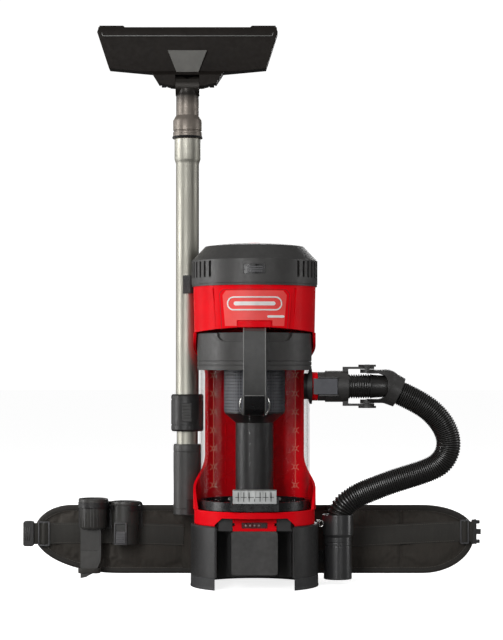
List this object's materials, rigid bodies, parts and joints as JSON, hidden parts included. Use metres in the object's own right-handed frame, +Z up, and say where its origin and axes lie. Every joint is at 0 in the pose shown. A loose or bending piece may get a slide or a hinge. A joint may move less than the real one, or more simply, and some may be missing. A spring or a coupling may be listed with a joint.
{
  "type": "backpack vacuum cleaner",
  "caption": "Backpack vacuum with a clear pull-out bin, slide-in battery, swivelling hose, clipped telescopic wand with floor tool, padded harness and hip belt with tools.",
  "frame": {"origin": "on the floor plane, on the canister's vertical axis", "axes": "+Z up, -Y towards the bin's carry handle, +Y towards the wearer, the wand on the -X side"},
  "size_m": [0.802, 0.324, 0.963],
  "materials": {
    "red_shell": "moulded, semi-gloss",
    "charcoal": "fine texture",
    "black_plastic": "satin",
    "boot_rubber": "matte",
    "clear_bin": "clear, glossy",
    "smoke_latch": "translucent grey",
    "grey_plastic": "satin",
    "wand_metal": "satin anodised",
    "bright_steel": "polished",
    "hose_rubber": "ribbed, satin",
    "belt_fabric": "woven nylon with bound edges",
    "filter_media": "pleated",
    "motor_steel": "plain",
    "board_green": "plain"
  },
  "bodies": {
    "main_unit": {"base_housing": "black_plastic", "foot_pads": "boot_rubber", "base_band": "red_shell", "back_frame": "red_shell", "motor_housing": "red_shell", "top_cap": "charcoal", "motor_can": "motor_steel", "exhaust_filter": "filter_media", "control_board": "board_green", "housing_screws": "bright_steel", "wand_clip": "black_plastic", "wand_cradle": "black_plastic", "cuff_cradle": "black_plastic", "harness_plate": "black_plastic", "back_pad": "belt_fabric", "lumbar_pad": "belt_fabric", "shoulder_strap_left": "belt_fabric", "shoulder_strap_right": "belt_fabric", "grab_handle": "black_plastic"},
    "fan": {"impeller": "charcoal", "motor_shaft": "motor_steel"},
    "power_button": {"power_button": "red_shell"},
    "release_button": {"release_button": "red_shell"},
    "battery": {"battery_case": "black_plastic", "battery_head": "red_shell"},
    "battery_latch_left": {"battery_latch_left": "black_plastic"},
    "battery_latch_right": {"battery_latch_right": "black_plastic"},
    "bin": {"bin_shell": "clear_bin", "bin_collar": "charcoal", "bin_handle": "charcoal", "cyclone_shroud": "black_plastic", "dust_filter": "filter_media", "bin_lid": "charcoal", "inlet_port": "black_plastic", "port_ring": "red_shell"},
    "lid_latch": {"lid_latch": "smoke_latch"},
    "coupler": {"hose_coupler": "charcoal", "hose_bellows": "hose_rubber"},
    "coupler_button": {"coupler_button": "grey_plastic"},
    "hose_end": {"hose_hood": "charcoal", "hose": "hose_rubber", "hose_cuff": "black_plastic"},
    "wand": {"wand_fitting": "charcoal", "wand_inner_tube": "wand_metal"},
    "wand_slider": {"wand_outer_tube": "wand_metal", "lock_collar": "black_plastic"},
    "lock_button": {"lock_button": "charcoal"},
    "nozzle_swivel": {"nozzle_neck": "charcoal"},
    "nozzle": {"nozzle_head": "black_plastic", "nozzle_hood": "grey_plastic", "nozzle_sole": "charcoal"},
    "nozzle_wheels": {"nozzle_wheels": "boot_rubber"},
    "left_wing": {"belt_wing_left": "belt_fabric", "buckle_socket": "black_plastic", "tool_holder": "black_plastic"},
    "right_wing": {"belt_wing_right": "belt_fabric", "buckle_plug": "black_plastic"},
    "crevice_tool": {"crevice_tool": "black_plastic"},
    "brush_tool": {"brush_tool": "black_plastic"},
    "brush_slider": {"brush_slider": "grey_plastic"}
  },
  "joints": [
    {"name": "impeller_spin", "type": "hinge", "parent": "main_unit", "child": "fan", "pos_m": [0, 0, 0.48], "axis": [0, 0, 1], "continuous": true},
    {"name": "power_press", "type": "slide", "parent": "main_unit", "child": "power_button", "axis": [0, 0, -1], "range_m": [0, 0.002], "stiffness_N_per_m": 600, "springref_m": -0.001},
    {"name": "release_press", "type": "slide", "parent": "main_unit", "child": "release_button", "axis": [0, 1, 0], "range_m": [0, 0.003], "stiffness_N_per_m": 600, "springref_m": -0.001},
    {"name": "battery_slide", "type": "slide", "parent": "main_unit", "child": "battery", "axis": [0, -1, 0], "range_m": [0, 0.11]},
    {"name": "battery_latch_left_press", "type": "slide", "parent": "battery", "child": "battery_latch_left", "axis": [1, 0, 0], "range_m": [0, 0.002], "stiffness_N_per_m": 600, "springref_m": -0.001},
    {"name": "battery_latch_right_press", "type": "slide", "parent": "battery", "child": "battery_latch_right", "axis": [-1, 0, 0], "range_m": [0, 0.002], "stiffness_N_per_m": 600, "springref_m": -0.001},
    {"name": "bin_pull", "type": "slide", "parent": "main_unit", "child": "bin", "axis": [0, -1, 0], "range_m": [0, 0.22]},
    {"name": "lid_latch_tilt", "type": "hinge", "parent": "bin", "child": "lid_latch", "pos_m": [0, -0.0995, 0.1505], "axis": [1, 0, 0], "range_deg": [0, 10], "stiffness_Nm_per_rad": 0.3, "springref_deg": -17.19},
    {"name": "coupler_swivel", "type": "hinge", "parent": "bin", "child": "coupler", "pos_m": [0.12, 0, 0.3364], "axis": [1, 0, 0], "range_deg": [-110, 0]},
    {"name": "coupler_button_press", "type": "slide", "parent": "coupler", "child": "coupler_button", "axis": [0, 1, 0], "range_m": [0, 0.0022], "stiffness_N_per_m": 600, "springref_m": -0.001},
    {"name": "hose_yoke_swing", "type": "hinge", "parent": "coupler", "child": "hose_end", "pos_m": [0.1914, 0, 0.3364], "axis": [0, 0, 1], "range_deg": [0, 45], "deforming": ["hose_bellows"]},
    {"name": "wand_unclip", "type": "slide", "parent": "main_unit", "child": "wand", "axis": [-1, 0, 0], "range_m": [0, 0.055]},
    {"name": "wand_telescope", "type": "slide", "parent": "wand", "child": "wand_slider", "axis": [0, 0, 1], "range_m": [0, 0.165]},
    {"name": "lock_press", "type": "slide", "parent": "wand_slider", "child": "lock_button", "axis": [0, 1, 0], "range_m": [0, 0.002], "stiffness_N_per_m": 600, "springref_m": -0.001},
    {"name": "nozzle_turn", "type": "hinge", "parent": "wand_slider", "child": "nozzle_swivel", "pos_m": [-0.1164, 0.07, 0.78], "axis": [0, 0, 1], "continuous": true},
    {"name": "nozzle_tilt", "type": "hinge", "parent": "nozzle_swivel", "child": "nozzle", "pos_m": [-0.1164, 0.072, 0.858], "axis": [1, 0, 0], "range_deg": [0, 75]},
    {"name": "nozzle_wheel_roll", "type": "hinge", "parent": "nozzle", "child": "nozzle_wheels", "pos_m": [-0.1164, 0.096, 0.868], "axis": [1, 0, 0], "continuous": true},
    {"name": "left_wing_fold", "type": "hinge", "parent": "main_unit", "child": "left_wing", "pos_m": [-0.115, 0.119, 0.067], "axis": [0, 0, 1], "range_deg": [-75, 0]},
    {"name": "right_wing_fold", "type": "hinge", "parent": "main_unit", "child": "right_wing", "pos_m": [0.115, 0.119, 0.067], "axis": [0, 0, 1], "range_deg": [0, 75]},
    {"name": "crevice_lift", "type": "slide", "parent": "left_wing", "child": "crevice_tool", "axis": [0, 0, 1], "range_m": [0, 0.15]},
    {"name": "brush_lift", "type": "slide", "parent": "left_wing", "child": "brush_tool", "axis": [0, 0, 1], "range_m": [0, 0.09]},
    {"name": "brush_slide", "type": "slide", "parent": "brush_tool", "child": "brush_slider", "axis": [0, 0, 1], "range_m": [0, 0.012]}
  ]
}
